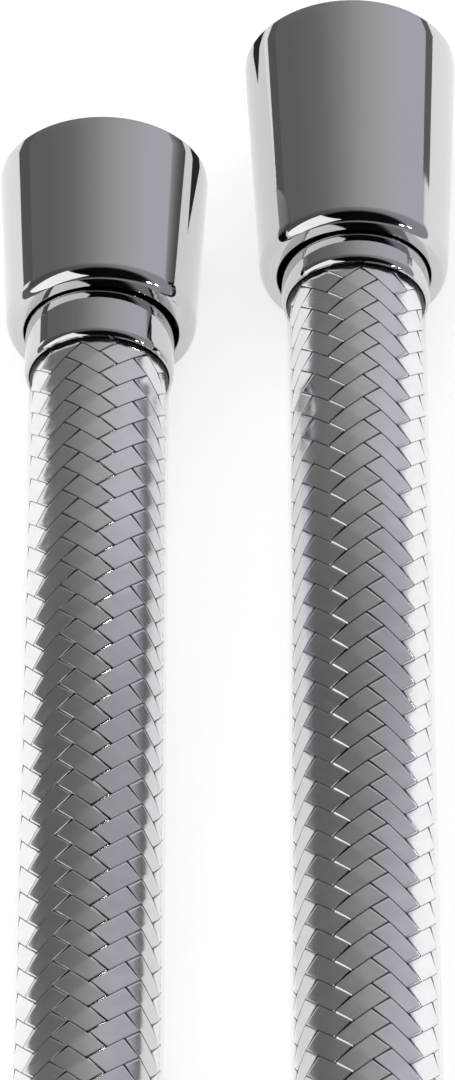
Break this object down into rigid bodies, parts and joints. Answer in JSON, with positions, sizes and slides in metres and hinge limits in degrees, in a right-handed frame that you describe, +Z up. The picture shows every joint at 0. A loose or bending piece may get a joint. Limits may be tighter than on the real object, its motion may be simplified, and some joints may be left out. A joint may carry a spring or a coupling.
{
  "type": "braided supply hose",
  "caption": "Braided silver supply hose, laid in a flat hank, with a loose conical chrome union nut and sealing washer on each end; the longer end swivels.",
  "frame": {"origin": "on the floor under the middle of the box round the two end fittings", "axes": "+Z up, +Y out of the open mouths of both nuts, +X from the short-nut end to the long-nut end"},
  "size_m": [0.1186, 0.4184, 0.0343],
  "materials": {
    "chrome": "polished chrome plate",
    "brass": "turned brass",
    "steel": "spring steel",
    "washer_rubber": "moulded black rubber",
    "nylon": "natural nylon",
    "liner": "soft white plastic tube",
    "braid": "metallised flat tapes under a thin clear jacket",
    "strap": "black woven hook-and-loop strap"
  },
  "bodies": {
    "root": {"left_insert": "brass", "left_washer": "washer_rubber", "left_ferrule": "chrome", "left_liner_end": "liner", "left_braid_end": "braid", "right_socket_tail": "brass", "right_snap_ring": "steel", "right_ferrule": "chrome", "right_liner_end": "liner", "right_braid_end": "braid", "left_leg": "braid", "right_leg": "braid", "hank": "braid", "left_tie": "strap", "right_tie": "strap"},
    "left_slip": {"left_slip_ring": "nylon"},
    "left_union_nut": {"left_nut": "chrome"},
    "right_swivel": {"right_swivel_nipple": "brass", "right_swivel_seal": "washer_rubber", "right_washer": "washer_rubber"},
    "right_slip": {"right_slip_ring": "nylon"},
    "right_union_nut": {"right_nut": "chrome"}
  },
  "joints": [
    {"name": "left_nut_play", "type": "slide", "parent": "root", "child": "left_slip", "axis": [0, 1, 0], "range_m": [-0.0028, 0]},
    {"name": "left_nut_spin", "type": "hinge", "parent": "left_slip", "child": "left_union_nut", "pos_m": [-0.01475, 0.0059, 0.0122], "axis": [0, 1, 0], "continuous": true},
    {"name": "right_swivel_spin", "type": "hinge", "parent": "root", "child": "right_swivel", "pos_m": [0.01455, 0.0231, 0.01255], "axis": [0, 1, 0], "continuous": true},
    {"name": "right_nut_play", "type": "slide", "parent": "right_swivel", "child": "right_slip", "axis": [0, 1, 0], "range_m": [-0.0028, 0]},
    {"name": "right_nut_spin", "type": "hinge", "parent": "right_slip", "child": "right_union_nut", "pos_m": [0.0144, 0.0231, 0.01255], "axis": [0, 1, 0], "continuous": true}
  ]
}
